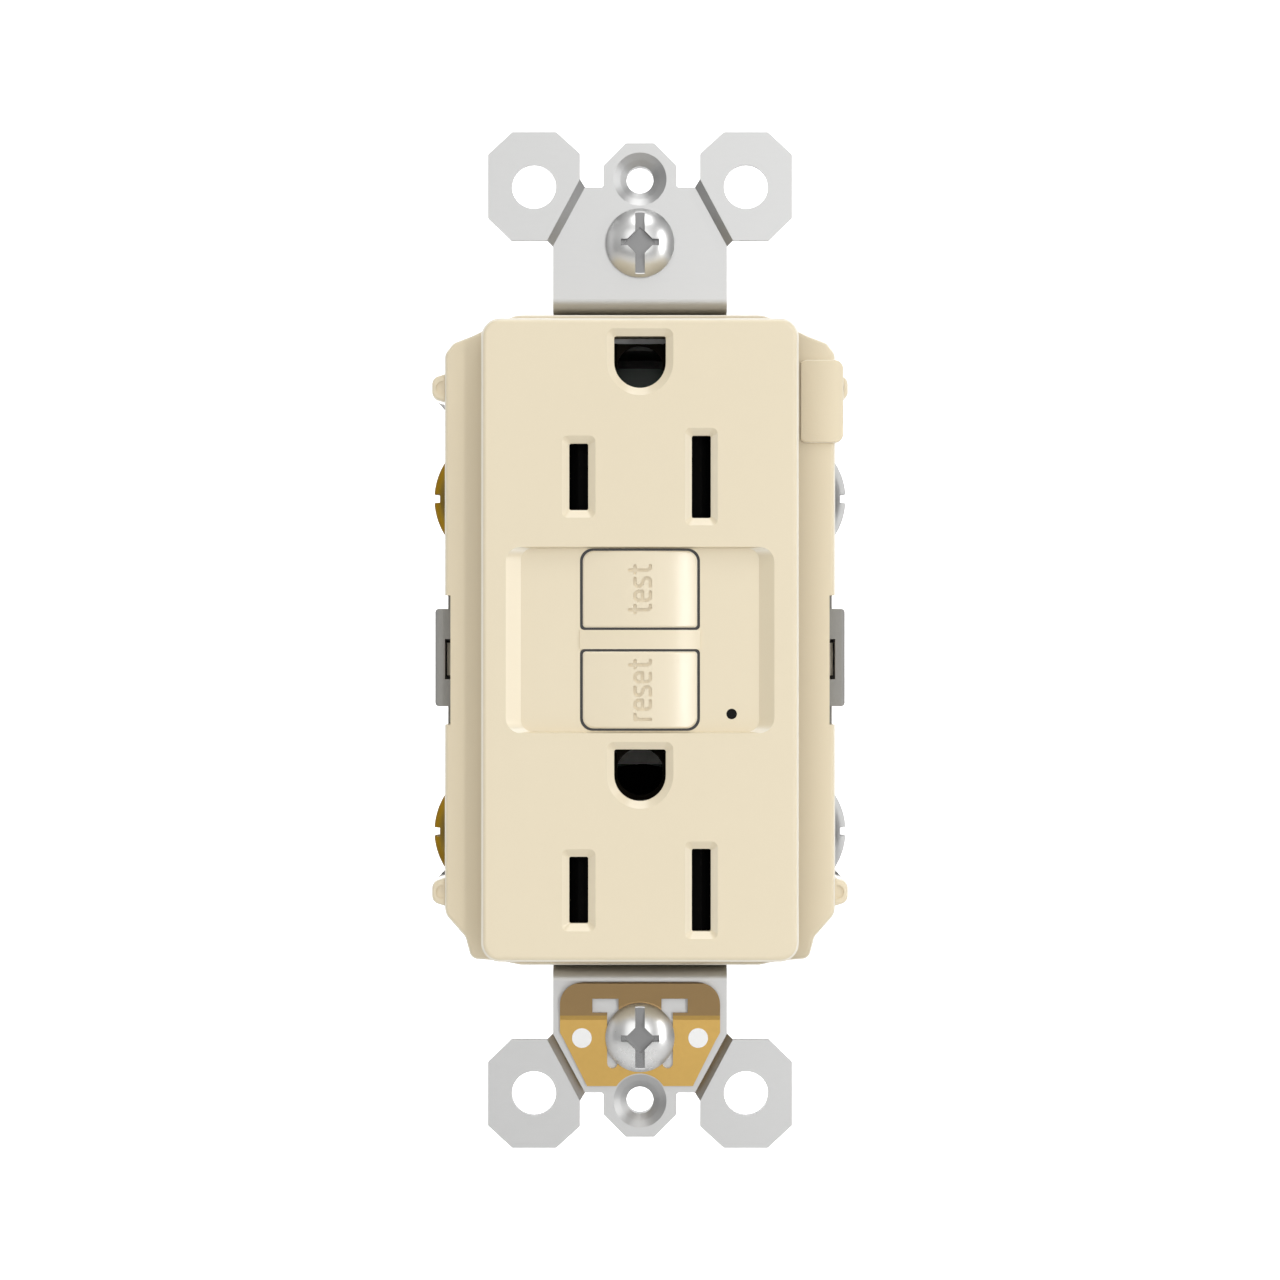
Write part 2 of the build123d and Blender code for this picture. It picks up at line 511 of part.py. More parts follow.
# ---------------------------------------------------------------- shutters
def shutter_frame(zc):
    f = bx(-10.5, 10.5, Y_IN + 0.05, Y_IN + 3.05, zc - 5.1, zc + 5.1)
    f -= bx(-9.7, 9.7, Y_IN + 0.45, Y_IN + 2.45, zc - 4.5, zc + 4.5)
    for sx in (1, -1):
        f -= bx(sx * BLADE_X - 1.2, sx * BLADE_X + 1.2, -8, -2, zc - 4.45, zc + 4.45)
    # open rear middle, where the spring is dropped in
    f -= bx(-2.4, 2.4, Y_IN + 2.4, -2, zc - 2.6, zc + 2.6)
    return f


def shutter(sx, zc):
    a, c = sorted((sx * 3.5, sx * 7.7))
    s = bx(a, c, Y_IN + 0.55, Y_IN + 2.35, zc - 4.3, zc + 4.3)
    e = [k for k in s.edges() if abs(abs(k.center().X) - 7.7) < 1e-3 and abs(k.center().Y - Y_IN - 0.55) < 1e-3]
    return chamfer(e, 1.3)


# ---------------------------------------------------------------- rear housing
def rear_housing():
    h = ext(shoulder_outline(), Y_SPLIT, Y_BACK)
    h = soft(h, h.faces().sort_by(Axis.Y)[-1].edges(), 0.9)
    for sx in (1, -1):
        for zc in (HOUSING_SCREW[1], -HOUSING_SCREW[1]):
            l = ext(lug(sx, zc), Y_SPLIT, Y_BACK - 0.6)
            h += l
        # side latch: rib that runs forward over the cover's notch
        def b(x0, x1, *r):
            a, c = sorted((sx * x0, sx * x1))
            return bx(a, c, *r)
        lt = b(19.98, 21.65, 1.6, 15.0, -7.0, 3.3)
        e = [k for k in lt.edges() if abs(abs(k.center().X) - 21.65) < 1e-3]
        lt = soft(lt, e, 0.4)
        h += lt
        h -= b(19.9, 20.62, 1.0, 5.4, -4.15, 0.1)
    # hollow
    h -= bx(-11.2, 11.2, Y_SPLIT - 1, Y_BACK - 1.6, -30.9, 30.9)
    for z0, z1, x in ((-13.6, 8.2, 18.6), (22.0, 27.1, 16.4), (-24.6, -27.4, 16.4)):
        z0, z1 = sorted((z0, z1))
        if z0 < -24:
            continue
        h -= bx(-x, x, Y_SPLIT - 1, Y_BACK - 1.6, z0, z1)
    for sx in (1, -1):
        def b(x0, x1, *r):
            a, c = sorted((sx * x0, sx * x1))
            return bx(a, c, *r)
        for zc in TERM_Z:
            h -= b(12.4, TERM_PLATE[0] + 0.05, Y_SPLIT - 1, 17.4, zc - 4.75, zc + 4.75)
            h -= b(TERM_PLATE[0] - 0.05, 25, Y_SPLIT - 1, 16.9, zc - 4.9, zc + 4.9)
            for s in (1, -1):
                h -= cyl((sx * 15.5, 16, zc + s * 2.9), (0, 1, 0), 1.7, 12)
                h -= cone((sx * 15.5, Y_BACK - 0.9, zc + s * 2.9), (0, 1, 0), 1.7, 2.6, 0.9)
        # slot for the leg of the line terminal
        h -= b(11.1, 12.45, Y_SPLIT - 1, Y_BACK - 1.6, TERM_Z[0] - 1.65, TERM_Z[0] + 1.65)
        # screws that hold cover and housing together
        for zc in (HOUSING_SCREW[1], -HOUSING_SCREW[1]):
            h -= cyl((sx * HOUSING_SCREW[0], 5, zc), (0, 1, 0), 1.25, 25)
            h -= cyl((sx * HOUSING_SCREW[0], Y_BACK - 1.7, zc), (0, 1, 0), 2.05, 4)
    # clearance pocket for the ground screw
    h -= cyl((GND_SCREW[0], GND_SCREW[1], -36), (0, 0, 1), 2.5, 4.6)
    # label recess, strip gauge and ribs on the back
    h -= ext(rr(20.0, 25.0, 1.0), Y_BACK - 0.3, Y_BACK + 1)
    h -= ext(at(rr(2.0, 12.5, 0.9), 0, 24.0), Y_BACK - 0.6, Y_BACK + 1)
    for s in (1, -1):
        h += ext(at(rr(0.7, 9.0, 0.3), s * 11.2, TERM_Z[0]), Y_BACK - 0.2, Y_BACK + 0.25)
        h += ext(at(rr(0.7, 9.0, 0.3), s * 11.2, TERM_Z[1]), Y_BACK - 0.2, Y_BACK + 0.25)
    return h


# ---------------------------------------------------------------- write the pieces
def main():
    save(front_cover(), "front_cover")
    save(rear_housing(), "rear_housing")
    save(mounting_strap(), "mounting_strap")
    save(grounding_clip(), "grounding_clip")
    riv = None
    for sx in (1, -1):
        q = cyl((sx * 6.1, -1.9, -41.75), (0, 1, 0), 1.03, 2.2) 
        riv = q if riv is None else riv + q
    save(riv, "grounding_clip_rivets")

    # middle separator between outlets and electronics
    sep = bx(-11.1, 11.1, 7.1, 9.1, -30.5, 30.5)
    sep -= cyl((0, 5, PIN_Z), (0, 1, 0), 1.3, 6)
    for s in (1, -1):
        a, c = sorted((s * 10.9, s * 12.5))
        sep -= bx(a, c, 6, 10, -4.9, -0.7)
    for zb in (UP_Z, LO_Z):
        sep -= cyl((0, 5, zb + GND_DZ), (0, 1, 0), 2.75, 6)
        for s in (1, -1):
            sep -= bx(s * BLADE_X - 1.05, s * BLADE_X + 1.05, 6, 11, zb - 4.5, zb + 4.5)
    rim = tube((0, 6.0, PIN_Z), (0, 1, 0), 3.4, 2.7, 1.2)
    sep += rim
    save(sep, "middle_separator")

    # ground path
    save(ground_contact(UP_Z + GND_DZ) + ground_contact(LO_Z + GND_DZ), "ground_contacts")
    gr = None
    for zc in (UP_Z + GND_DZ, LO_Z + GND_DZ):
        for s in (1, -1):
            q = cyl((s * 4.3, 4.8, zc), (0, 1, 0), 1.15, 0.4) + cyl((s * 4.3, 5.2, zc), (0, 1, 0), 0.8, WEB_Y1 - 5.2)
            gr = q if gr is None else gr + q
    save(gr, "ground_contact_rivets")
    gx, gy = GND_SCREW
    hexa = extrude(Plane(origin=(gx, gy, -36.75), x_dir=(1, 0, 0), z_dir=(0, 0, -1)) * RegularPolygon(3.95, 6), amount=2.4)
    hexa = hexa & cone((gx, gy, -36.7), (0, 0, -1), 4.7, 3.3, 2.9)
    gs = hexa + cyl((gx, gy, -37.0), (0, 0, 1), TERM_SCREW_R, 5.0)
    gs -= bx(gx - 0.5, gx + 0.5, gy - 5, gy + 5, -40, -38.35)
    save(gs, "ground_screw")

    # line and load conductors
    save(line_terminal(-1), "line_terminal_hot")
    save(line_terminal(1), "line_terminal_neutral")
    save(bus_bar(-1), "bus_bar_hot")
    save(bus_bar(1), "bus_bar_neutral")
    save(line_lead(-1), "line_lead_hot")
    save(line_lead(1), "line_lead_neutral")
    names = {(-1, 0): "line_hot", (1, 0): "line_neutral", (-1, 1): "load_hot", (1, 1): "load_neutral"}
    for (sx, i), n in names.items():
        save(terminal_screw(sx, TERM_Z[i]), f"terminal_screw_{n}")
        save(clamp_plate(sx, TERM_Z[i]), f"clamp_plate_{n}")

    # box screws and what holds them in the strap
    save(mounting_screw(BOX_SCREW_Z, -STRAP_T - 0.04), "mounting_screw_upper")
    save(mounting_screw(-BOX_SCREW_Z, -1.8 - 0.04), "mounting_screw_lower")
    w = None
    for s in (1, -1):
        q = ext(at(rr(5.7, 4.2, 0.75), 0, s * BOX_SCREW_Z), -1.1, -0.1) - cyl((0, -2, s * BOX_SCREW_Z), (0, 1, 0), BOX_NECK_R + 0.05, 3)
        w = q if w is None else w + q
    save(w, "screw_retainers")
    hs = None
    for sx in (1, -1):
        for s in (1, -1):
            x, z = sx * HOUSING_SCREW[0], s * HOUSING_SCREW[1]
            q = cyl((x, Y_BACK - 1.68, z), (0, 1, 0), 1.95, 1.3) + cyl((x, 3.2, z), (0, 1, 0), 1.05, Y_BACK - 1.6 - 3.2)
            q -= bx(x - 1.25, x + 1.25, Y_BACK - 1.1, Y_BACK + 1, z - 0.3, z + 0.3)
            q -= bx(x - 0.3, x + 0.3, Y_BACK - 1.1, Y_BACK + 1, z - 1.25, z + 1.25)
            hs = q if hs is None else hs + q
    save(hs, "housing_screws")

    # controls
    tb = button(TEST_Z[0], TEST_Z[1], 1, "TEST")
    tz = (TEST_Z[0] + TEST_Z[1]) / 2
    tb += cyl((0, -5.6, tz), (0, 1, 0), 1.2, 6.6) + cyl((0, 0.9, tz), (0, 1, 0), 0.45, 1.5)
    letters = ext(word("test", tz, 2.15, 0.54, 0.34), Y_FACE - 1, Y_CROWN + 0.28)
    tb -= letters
    save(tb, "test_button")
    rb = button(RESET_Z[0], RESET_Z[1], -1, "RESET")
    rb -= cyl((0, -6.4, PIN_Z), (0, 1, 0), 0.9, 6)
    letters = ext(word("reset", PIN_Z, 2.15, 0.54, 0.34), Y_FACE - 1, Y_CROWN + 0.28)
    rb -= letters
    save(rb, "reset_button")
    pin = cyl((0, -6.4, PIN_Z), (0, 1, 0), 0.9, 22.5) + cyl((0, 15.1, PIN_Z), (0, 1, 0), 1.7, 1.0)
    pin += cone((0, 16.1, PIN_Z), (0, 1, 0), 1.7, 1.0, 0.5)
    save(pin, "reset_pin")
    save(tube((0, Y_IN + 2.03, PIN_Z), (0, 1, 0), 2.5, 2.0, 11.62), "reset_spring")
    blade = bx(-2.0, 4.7, 2.6, 3.0, tz - 1.1, tz + 1.1) + cyl((4.7, 3.0, tz - 1.1), (0, 0, 1), 0.4, 2.2)
    save(blade, "test_contact_blade")
    post = bx(4.0, 4.9, 3.55, 7.1, tz - 1.1, tz + 1.1) + bx(-2.2, -1.0, 4.8, 7.1, tz - 1.0, tz + 1.0)
    save(post, "test_contact_posts")

    # latch: carrier, sliding plate, spring
    car = bx(-5.0, 5.0, 12.2, 17.6, -13.4, -1.2)
    car -= cyl((0, 10, PIN_Z), (0, 1, 0), 1.2, 5)
    car -= bx(-3.7, 3.7, 14.1, 15.1, -12.8, 0)
    car -= cyl((0, 15.0, PIN_Z), (0, 1, 0), 2.2, 4)
    for s in (1, -1):
        a, c = sorted((s * 4.9, s * 10.4))
        car += bx(a, c, 12.6, 13.8, -6.2, -4.2)
        car += bx(sorted((s * 7.4, s * 10.4))[0], sorted((s * 7.4, s * 10.4))[1], 12.03, 12.7, -5.45, -4.95)
    save(car, "contact_carrier")
    lp = bx(-3.4, 3.4, 14.2, 15.0, -9.6, 1.8)
    lp += bx(-1.6, 1.6, 13.2, 16.8, 1.2, 1.8)
    lp -= cyl((0, 13, PIN_Z + 1.5), (0, 1, 0), 1.85, 4)
    lp -= bx(-1.05, 1.05, 13, 15.05, PIN_Z - 1.05, PIN_Z + 1.5)
    save(lp, "latch_plate")
    save(tube((0, 14.6, -12.75), (0, 0, 1), 0.45, 0.25, 3.1), "latch_spring")

    # solenoid
    bob = cyl((0, COIL_Y, COIL_Z[0]), (0, 0, 1), 5.1, 1.0) + cyl((0, COIL_Y, COIL_Z[1] - 1.0), (0, 0, 1), 5.1, 1.0)
    bob += cyl((0, COIL_Y, COIL_Z[0]), (0, 0, 1), 2.4, COIL_Z[1] - COIL_Z[0])
    bob -= cyl((0, COIL_Y, COIL_Z[0] - 1), (0, 0, 1), 1.7, 30)
    save(bob, "solenoid_bobbin")
    save(tube((0, COIL_Y, COIL_Z[0] + 1.0), (0, 0, 1), 4.7, 2.4, COIL_Z[1] - COIL_Z[0] - 2.0), "solenoid_winding")
    yoke = bx(-5.2, 5.2, 9.5, 19.9, COIL_Z[0] - 0.9, COIL_Z[0] - 0.05) + bx(-5.2, 5.2, 9.5, 19.9, COIL_Z[1] + 0.05, COIL_Z[1] + 0.9)
    yoke += bx(5.2, 6.1, 10.6, 18.6, COIL_Z[0] - 0.9, COIL_Z[1] + 0.9)
    yoke += bx(-6.1, -5.2, 10.6, 18.6, COIL_Z[0] - 0.9, COIL_Z[1] + 0.9)
    yoke -= cyl((0, COIL_Y, COIL_Z[0] - 3), (0, 0, 1), 1.05, 4)
    yoke -= cyl((0, COIL_Y, COIL_Z[1] - 1), (0, 0, 1), 1.8, 4)
    save(yoke, "solenoid_yoke")
    pl = cyl((0, COIL_Y, 12.0), (0, 0, 1), 1.6, 11.5) + cyl((0, COIL_Y, 2.0), (0, 0, 1), 0.8, 10.2)
    save(pl, "solenoid_plunger")

    # moving contacts
    save(contact_arm(-1), "contact_arm_hot")
    save(contact_arm(1), "contact_arm_neutral")

    # sensing coils
    boat = cyl((0, 12.0, CT_Z), (0, 1, 0), 7.9, 8.0) - tube((0, 12.6, CT_Z), (0, 1, 0), 7.5, 3.3, 8)
    boat -= cyl((0, 11, CT_Z), (0, 1, 0), 2.7, 12)
    save(boat, "sensor_cup")
    save(tube((0, 12.8, CT_Z), (0, 1, 0), 7.3, 3.5, 3.2) + tube((0, 16.3, CT_Z), (0, 1, 0), 7.3, 3.5, 3.2), "sensing_coils")

    # circuit board and what is on it
    pcb = bx(-11.0, 11.0, PCB_Y[0], PCB_Y[1], -29.8, 29.8)
    pcb -= bx(-1.7 - 0.5, 1.7 + 0.5, PCB_Y[0] - 1, PCB_Y[1] + 1, CT_Z - 0.8, CT_Z + 0.8)
    save(pcb, "circuit_board")
    save(cyl((-6.2, 14.9, 25.6), (1, 0, 0), 4.4, 3.4) + bx(-5.0, -4.4, 19.0, PCB_Y[0], 23.4, 24.0) + bx(-5.0, -4.4, 19.0, PCB_Y[0], 27.2, 27.8), "varistor")
    caps = cyl((4.4, 13.2, 25.4), (0, 1, 0), 2.75, 7.4) + cyl((9.2, 15.4, 26.4), (0, 1, 0), 1.65, 5.2)
    save(caps, "capacitors")
    di = None
    for x in (-9.3, -7.6):
        for z in (-8.5, -3.5):
            q = cyl((x, 19.4, z - 1.6), (0, 0, 1), 0.7, 3.2) + bx(x - 0.2, x + 0.2, 19.2, PCB_Y[0], z - 2.3, z - 1.55) + bx(x - 0.2, x + 0.2, 19.2, PCB_Y[0], z + 1.55, z + 2.3)
            di = q if di is None else di + q
    rs = None
    for x, z in ((8.6, -9.0), (8.6, -5.0), (8.6, -1.0)):
        q = cyl((x, 19.5, z - 1.5), (0, 0, 1), 0.65, 3.0) + bx(x - 0.2, x + 0.2, 19.3, PCB_Y[0], z - 1.9, z - 1.45) + bx(x - 0.2, x + 0.2, 19.3, PCB_Y[0], z + 1.45, z + 1.9)
        rs = q if rs is None else rs + q
    save(di + rs, "diodes_and_resistors")
    save(bx(-3.0, 2.0, PCB_Y[1] + 0.2, PCB_Y[1] + 1.7, -4.0, 1.0) + bx(-3.6, 2.6, PCB_Y[1], PCB_Y[1] + 0.25, -3.6, 0.6), "controller_chip")
    save(cyl((8.6, 15.6, 7.0), (0, 1, 0), 2.2, 4.0) & bx(6, 12, 15, 20, 4.5, 8.4) , "trip_thyristor")
    save(cyl((LED_X, Y_FACE + RECESS_D + 0.02, LED_Z), (0, 1, 0), 0.5, 6.6) + cyl((LED_X, -1.0, LED_Z), (0, 1, 0), 0.9, 0.6), "light_pipe")
    save(cyl((LED_X, -0.35, LED_Z), (0, 1, 0), 1.2, 3.0) + cyl((LED_X, 2.2, LED_Z), (0, 1, 0), 1.45, 0.6), "indicator_lamp")

    # outlet shutters
    save(shutter_frame(UP_Z) + shutter_frame(LO_Z), "shutter_frames")
    for n, zc in (("upper", UP_Z), ("lower", LO_Z)):
        save(shutter(-1, zc), f"shutter_{n}_left")
        save(shutter(1, zc), f"shutter_{n}_right")
        save(tube((-3.45, Y_IN + 1.45, zc), (1, 0, 0), 0.75, 0.5, 6.9), f"shutter_spring_{n}")


main()
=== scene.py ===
import bpy, bmesh, json, math
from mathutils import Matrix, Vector

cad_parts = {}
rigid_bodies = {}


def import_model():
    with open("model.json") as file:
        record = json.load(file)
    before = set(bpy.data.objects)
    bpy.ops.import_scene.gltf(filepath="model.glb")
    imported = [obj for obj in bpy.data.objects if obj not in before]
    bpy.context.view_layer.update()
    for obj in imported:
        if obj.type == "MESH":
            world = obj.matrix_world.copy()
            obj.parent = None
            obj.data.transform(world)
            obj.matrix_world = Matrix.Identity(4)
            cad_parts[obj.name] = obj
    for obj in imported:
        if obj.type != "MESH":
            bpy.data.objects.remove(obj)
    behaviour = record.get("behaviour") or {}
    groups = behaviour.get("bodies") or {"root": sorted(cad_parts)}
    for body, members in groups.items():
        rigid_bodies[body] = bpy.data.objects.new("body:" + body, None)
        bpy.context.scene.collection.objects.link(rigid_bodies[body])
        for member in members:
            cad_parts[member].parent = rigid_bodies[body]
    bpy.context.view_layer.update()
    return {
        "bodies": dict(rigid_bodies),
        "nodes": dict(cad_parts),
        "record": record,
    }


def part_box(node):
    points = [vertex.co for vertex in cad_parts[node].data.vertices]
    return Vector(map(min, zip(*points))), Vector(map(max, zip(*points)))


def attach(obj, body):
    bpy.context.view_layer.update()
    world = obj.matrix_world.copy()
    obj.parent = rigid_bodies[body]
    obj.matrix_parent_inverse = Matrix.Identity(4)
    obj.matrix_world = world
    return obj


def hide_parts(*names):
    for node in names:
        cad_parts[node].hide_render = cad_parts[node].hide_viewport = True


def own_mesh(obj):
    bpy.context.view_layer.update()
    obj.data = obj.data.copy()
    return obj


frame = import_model()
NODES, BODIES, REC = frame["nodes"], frame["bodies"], frame["record"]


# ------------------------------------------------------------ materials
def material(name, color, metallic=0.0, rough=0.5, vary=0.04, grain=2200.0, bump=0.05, stretch=(1, 1, 1),
             rough_vary=0.08, speck=0.0, coat=0.0, alpha=1.0, spec=0.5):
    """Shader whose colour, roughness and bump come from procedural noise in the row frame, in metres."""
    m = bpy.data.materials.new(name)
    m.use_nodes = True
    nt = m.node_tree
    n, l = nt.nodes, nt.links
    p = n["Principled BSDF"]
    p.inputs["Metallic"].default_value = metallic
    p.inputs["Specular IOR Level"].default_value = spec
    if coat:
        p.inputs["Coat Weight"].default_value = coat
        p.inputs["Coat Roughness"].default_value = 0.15
    if alpha < 1:
        p.inputs["Alpha"].default_value = alpha
    tc = n.new("ShaderNodeTexCoord")
    mp = n.new("ShaderNodeMapping")
    mp.inputs["Scale"].default_value = stretch
    l.new(tc.outputs["Object"], mp.inputs["Vector"])
    fine = n.new("ShaderNodeTexNoise")
    fine.inputs["Scale"].default_value = grain
    fine.inputs["Detail"].default_value = 4
    broad = n.new("ShaderNodeTexNoise")
    broad.inputs["Scale"].default_value = 55
    broad.inputs["Detail"].default_value = 5
    l.new(mp.outputs["Vector"], fine.inputs["Vector"])
    l.new(tc.outputs["Object"], broad.inputs["Vector"])
    ramp = n.new("ShaderNodeValToRGB")
    ramp.color_ramp.elements[0].position = 0.25
    ramp.color_ramp.elements[1].position = 0.75
    ramp.color_ramp.elements[0].color = [c * (1 - vary) for c in color] + [1]
    ramp.color_ramp.elements[1].color = [min(1, c * (1 + vary)) for c in color] + [1]
    mix = n.new("ShaderNodeMix")
    mix.data_type = "FLOAT"
    mix.inputs[0].default_value = 0.35
    l.new(broad.outputs["Fac"], mix.inputs[2])
    l.new(fine.outputs["Fac"], mix.inputs[3])
    l.new(mix.outputs[0], ramp.inputs["Fac"])
    l.new(ramp.outputs["Color"], p.inputs["Base Color"])
    mr = n.new("ShaderNodeMapRange")
    mr.inputs["To Min"].default_value = max(0.02, rough - rough_vary)
    mr.inputs["To Max"].default_value = min(1, rough + rough_vary)
    l.new(mix.outputs[0], mr.inputs["Value"])
    l.new(mr.outputs["Result"], p.inputs["Roughness"])
    bp = n.new("ShaderNodeBump")
    bp.inputs["Strength"].default_value = bump
    bp.inputs["Distance"].default_value = 0.00005
    l.new(fine.outputs["Fac"], bp.inputs["Height"])
    l.new(bp.outputs["Normal"], p.inputs["Normal"])
    return m


MAT = {
    "ivory_plastic": material("ivory_plastic", (0.80, 0.70, 0.505), rough=0.34, vary=0.012, grain=5200, bump=0.22, coat=0.08),
    "grey_plastic": material("grey_plastic", (0.30, 0.295, 0.28), rough=0.5, vary=0.06, grain=4200, bump=0.35),
    "strap_steel": material("strap_steel", (0.55, 0.55, 0.545), metallic=1, rough=0.42, vary=0.03, grain=2600, bump=0.12, stretch=(0.25, 1, 1)),
    "nickel_steel": material("nickel_steel", (0.80, 0.80, 0.79), metallic=1, rough=0.22, vary=0.05, grain=1800, bump=0.10),
    "brass": material("brass", (0.66, 0.44, 0.15), metallic=1, rough=0.3, vary=0.06, grain=1700, bump=0.10),
    "green_steel": material("green_steel", (0.04, 0.26, 0.08), metallic=0.9, rough=0.3, vary=0.1, grain=1800, bump=0.1),
    "spring_steel": material("spring_steel", (0.55, 0.55, 0.56), metallic=1, rough=0.25, vary=0.05, grain=3000, bump=0.08),
    "copper_winding": material("copper_winding", (0.45, 0.13, 0.04), metallic=0.7, rough=0.3, vary=0.12, grain=600, bump=0.6, stretch=(0.3, 0.3, 6)),
    # near-black with almost no specular: on the shutters behind the slots it is painted shade for the dark inside the
    # slots
    "black_plastic": material("black_plastic", (0.003, 0.003, 0.003), rough=0.75, vary=0.2, grain=3500, bump=0.2, spec=0.03),
    "board": material("board", (0.02, 0.13, 0.05), rough=0.35, vary=0.15, grain=800, bump=0.15, coat=0.3),
    "blue_ceramic": material("blue_ceramic", (0.03, 0.12, 0.42), rough=0.4, vary=0.1, grain=1500, bump=0.3),
    "white_plastic": material("white_plastic", (0.75, 0.75, 0.71), rough=0.5, vary=0.03, grain=3500, bump=0.25),
    "clear_pipe": material("clear_pipe", (0.012, 0.014, 0.010), rough=0.12, vary=0.1, grain=3000, bump=0.05, coat=0.5),
    "ferrite": material("ferrite", (0.03, 0.03, 0.035), rough=0.7, vary=0.2, grain=2500, bump=0.6),
}


class Graph:
    """Small helper for masks built from the object's own coordinates and normals."""

    def __init__(self, m):
        self.nt = m.node_tree
        self.n, self.l = self.nt.nodes, self.nt.links
        self.p = self.n["Principled BSDF"]
        self.tc = self.n.new("ShaderNodeTexCoord")
        a = self.n.new("ShaderNodeSeparateXYZ")
        self.l.new(self.tc.outputs["Object"], a.inputs[0])
        self.x, self.y, self.z = a.outputs["X"], a.outputs["Y"], a.outputs["Z"]
        b = self.n.new("ShaderNodeSeparateXYZ")
        self.l.new(self.tc.outputs["Normal"], b.inputs[0])
        self.ny = b.outputs["Y"]

    def do(self, op, a, b=0.0):
        k = self.n.new("ShaderNodeMath")
        k.operation = op
        for i, q in enumerate((a, b)):
            if isinstance(q, float):
                k.inputs[i].default_value = q
            else:
                self.l.new(q, k.inputs[i])
        return k.outputs[0]

    def ramp(self, v, lo, hi):
        """0 at lo, 1 at hi, clamped."""
        k = self.n.new("ShaderNodeMapRange")
        k.inputs["From Min"].default_value = lo
        k.inputs["From Max"].default_value = hi
        self.l.new(v, k.inputs["Value"])
        return k.outputs["Result"]

    def tint(self, fac, color):
        old = self.p.inputs["Base Color"].links[0].from_socket
        mix = self.n.new("ShaderNodeMix")
        mix.data_type = "RGBA"
        self.l.new(fac, mix.inputs[0])
        self.l.new(old, mix.inputs[6])
        mix.inputs[7].default_value = (*color, 1)
        self.l.new(mix.outputs[2], self.p.inputs["Base Color"])


def paint_recess_shade(m, centre, top, R, limit, tint):
    """Painted shade in a drive recess: wherever the surface lies deeper than the domed head, colour goes to tint."""
    g = Graph(m)
    dx = g.do("SUBTRACT", g.x, float(centre[0]))
    dz = g.do("SUBTRACT", g.z, float(centre[2]))
    r2 = g.do("ADD", g.do("MULTIPLY", dx, dx), g.do("MULTIPLY", dz, dz))
    depth = g.do("SUBTRACT", g.do("SUBTRACT", g.y, float(top)), g.do("DIVIDE", r2, 2.0 * R))
    # painted shade on the rim of the head, 2.4 to 3.6 mm from its centre
    rim_shade = g.do("MULTIPLY", g.ramp(g.do("SQRT", r2), 0.0024, 0.0036), 0.40)
    g.tint(rim_shade, (0.30, 0.30, 0.30))
    g.tint(g.do("MULTIPLY", g.do("GREATER_THAN", depth, 0.00010), g.do("LESS_THAN", r2, limit * limit)), tint)
    return m


def paint_slope_shade(m, start, full, color):
    """Painted shade on surfaces that turn away from the front: bends, joggles, funnels, edges."""
    g = Graph(m)
    g.tint(g.ramp(g.do("ABSOLUTE", g.ny), start, full), color)
    return m


def paint_gap_shadow(m, y_from, half_x=None, half_z=None):
    """Painted shadow in the narrow gap around the buttons."""
    g = Graph(m)
    f = g.do("GREATER_THAN", g.y, y_from)
    if half_x:
        f = g.do("MULTIPLY", f, g.do("LESS_THAN", g.do("ABSOLUTE", g.x), half_x))
        f = g.do("MULTIPLY", f, g.do("LESS_THAN", g.do("ABSOLUTE", g.z), half_z))
    g.tint(f, (0.016, 0.014, 0.010))
    return m


# painted shade on the strap's bends, joggles and hole funnels
paint_slope_shade(MAT["strap_steel"], 0.985, 0.66, (0.46, 0.46, 0.46))
IVORY = (0.80, 0.70, 0.505)
# painted shadow inside the cover's button openings and on the buttons' sides, behind y = -7.42 mm
COVER = paint_gap_shadow(material("ivory_cover", IVORY, rough=0.34, vary=0.012, grain=5200, bump=0.16, coat=0.5), -0.00742, 0.00635, 0.00975)
BUTTON = paint_gap_shadow(material("ivory_button", IVORY, rough=0.30, vary=0.008, grain=5200, bump=0.03, coat=1.0), -0.00742)
g = Graph(COVER)
# painted shade on the shoulder, most of all at the foot of the face block, and stronger towards +x
f = g.do("MULTIPLY", g.do("GREATER_THAN", g.y, -0.0024), g.ramp(g.do("ABSOLUTE", g.x), 0.0206, 0.0164))
g.tint(g.do("MULTIPLY", f, g.do("ADD", g.do("MULTIPLY", g.ramp(g.x, -0.018, 0.018), 0.6), 0.2)), (0.56, 0.475, 0.325))
def paint_edge_highlight(m, color, amount):
    """Painted highlight: corners of the moulding are made a little paler than the flats."""
    g = Graph(m)
    a = g.do("ABSOLUTE", g.ny)
    f = g.do("MULTIPLY", g.ramp(a, 0.83, 0.72), g.ramp(a, 0.22, 0.40))
    g.tint(g.do("MULTIPLY", f, amount), color)
    return m


# painted highlight on the edges of the cover and the buttons
paint_edge_highlight(COVER, (0.97, 0.92, 0.80), 0.85)
paint_edge_highlight(BUTTON, (0.97, 0.92, 0.80), 0.6)
SCREW_NICKEL = material("screw_nickel", (0.62, 0.62, 0.61), metallic=1, rough=0.32, vary=0.06, grain=1500, bump=0.05)
SCREW_BRASS = material("screw_brass", (0.37, 0.26, 0.10), metallic=1, rough=0.34, vary=0.08, grain=1500, bump=0.08)
SCREW_NICKEL.node_tree.nodes["Principled BSDF"].inputs["Specular Tint"].default_value = (0.5, 0.5, 0.5, 1)
SCREW_BRASS.node_tree.nodes["Principled BSDF"].inputs["Specular Tint"].default_value = (0.30, 0.24, 0.12, 1)
LENS = material("dark_lens", (0.006, 0.006, 0.006), rough=0.5, vary=0.2, grain=3000, bump=0.03, spec=0.1)
